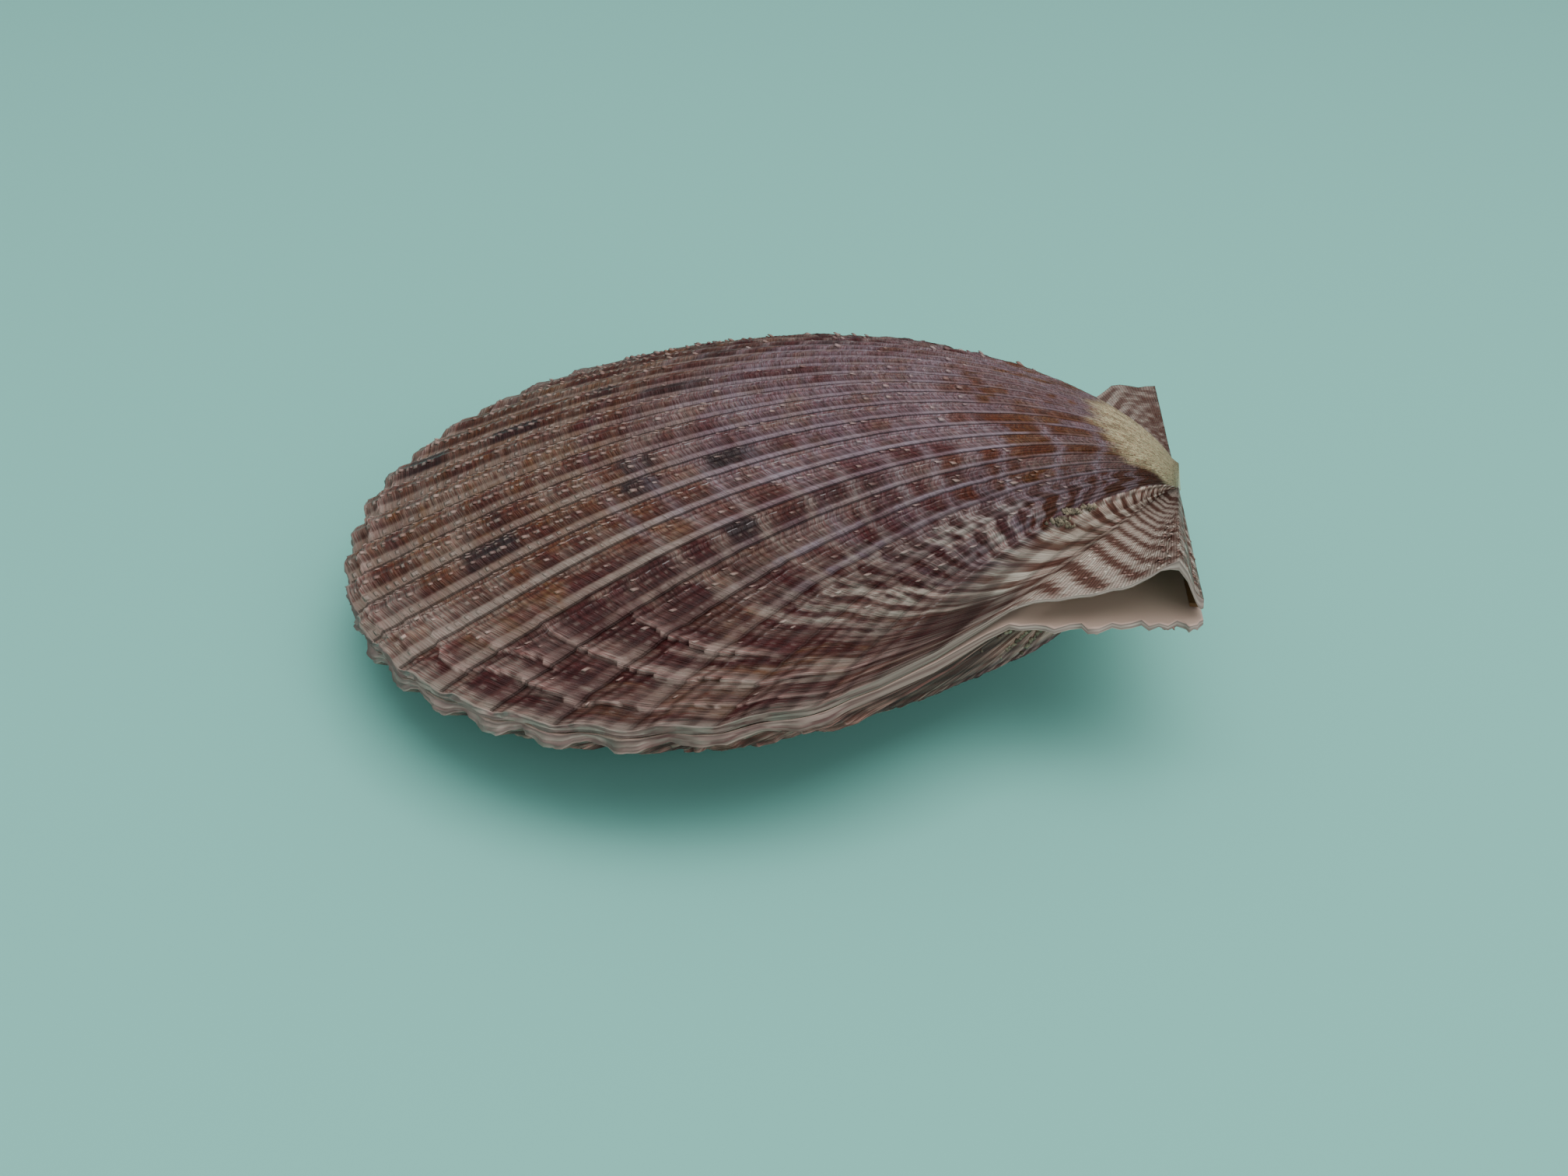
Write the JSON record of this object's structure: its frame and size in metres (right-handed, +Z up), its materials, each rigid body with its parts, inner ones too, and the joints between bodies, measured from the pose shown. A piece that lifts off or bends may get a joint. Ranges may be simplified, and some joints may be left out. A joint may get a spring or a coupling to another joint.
{
  "type": "mimachlamys crassicostata shell",
  "caption": "Closed scallop shell: deep ribbed left valve with a raised rear ear over a right valve with a byssal notch, joined by a thin horny hinge strip.",
  "frame": {"origin": "on the plane the shell lies on, under the middle of its bounding box", "axes": "+Z is up, with the left valve on top; +X points from the ventral edge to the hinge; -Y is the rear side and +Y the front side, where the byssal notch is"},
  "size_m": [0.088, 0.0834, 0.0304],
  "materials": {
    "left_valve": "satin natural shell, reddish brown and cream",
    "right_valve": "satin natural shell, maroon brown and cream",
    "ligament": "dried horn, dark brown"
  },
  "bodies": {
    "root": {"left_valve": "left_valve", "right_valve": "right_valve", "hinge_ligament": "ligament"}
  },
  "joints": []
}
